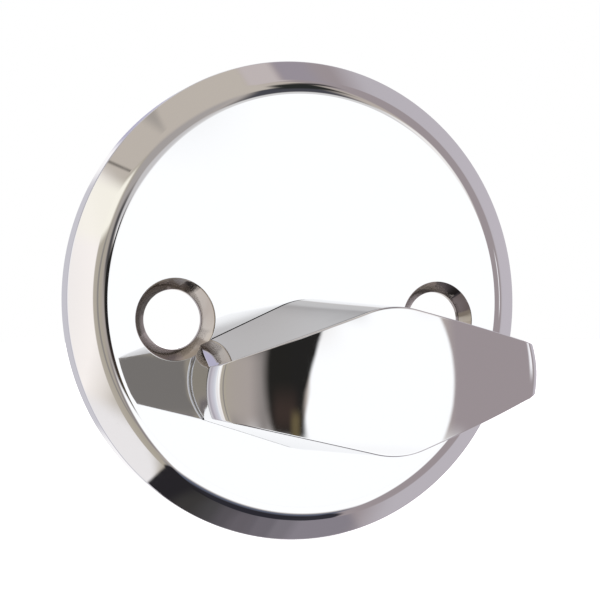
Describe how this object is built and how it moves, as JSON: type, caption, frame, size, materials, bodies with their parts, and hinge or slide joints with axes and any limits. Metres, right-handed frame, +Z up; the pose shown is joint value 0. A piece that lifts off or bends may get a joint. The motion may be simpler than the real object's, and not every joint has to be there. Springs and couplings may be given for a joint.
{
  "type": "thumb turn",
  "caption": "Round chromed rosette with a bevelled rim and countersunk fixing holes, carrying a solid boat-shaped finger grip on a square spindle that turns freely.",
  "frame": {"origin": "where the spindle's axis meets the surface of the door, in the plane of the rosette's back", "axes": "+X to the right seen from the front, +Z up, the front looks along -Y and the spindle runs into the door along +Y"},
  "size_m": [0.055, 0.0681, 0.055],
  "materials": {
    "rosette_chrome": "mirror-polished chrome plate on a zinc casting",
    "grip_chrome": "mirror-polished chrome plate on a zinc casting",
    "bush_plastic": "black acetal",
    "spring_steel": "tempered spring steel",
    "washer_steel": "zinc-plated steel",
    "ring_steel": "phosphated spring steel",
    "spindle_steel": "zinc-plated drawn steel",
    "pin_steel": "ground steel"
  },
  "bodies": {
    "rosette_body": {"rosette": "rosette_chrome", "bearing_bush": "bush_plastic", "wave_washer": "spring_steel"},
    "turn_body": {"turn_grip": "grip_chrome", "backing_washer": "washer_steel", "retaining_ring": "ring_steel", "spindle": "spindle_steel", "cross_pin": "pin_steel"}
  },
  "joints": [
    {"name": "turn", "type": "hinge", "parent": "rosette_body", "child": "turn_body", "pos_m": [0, 0, 0], "axis": [0, -1, 0], "continuous": true}
  ]
}
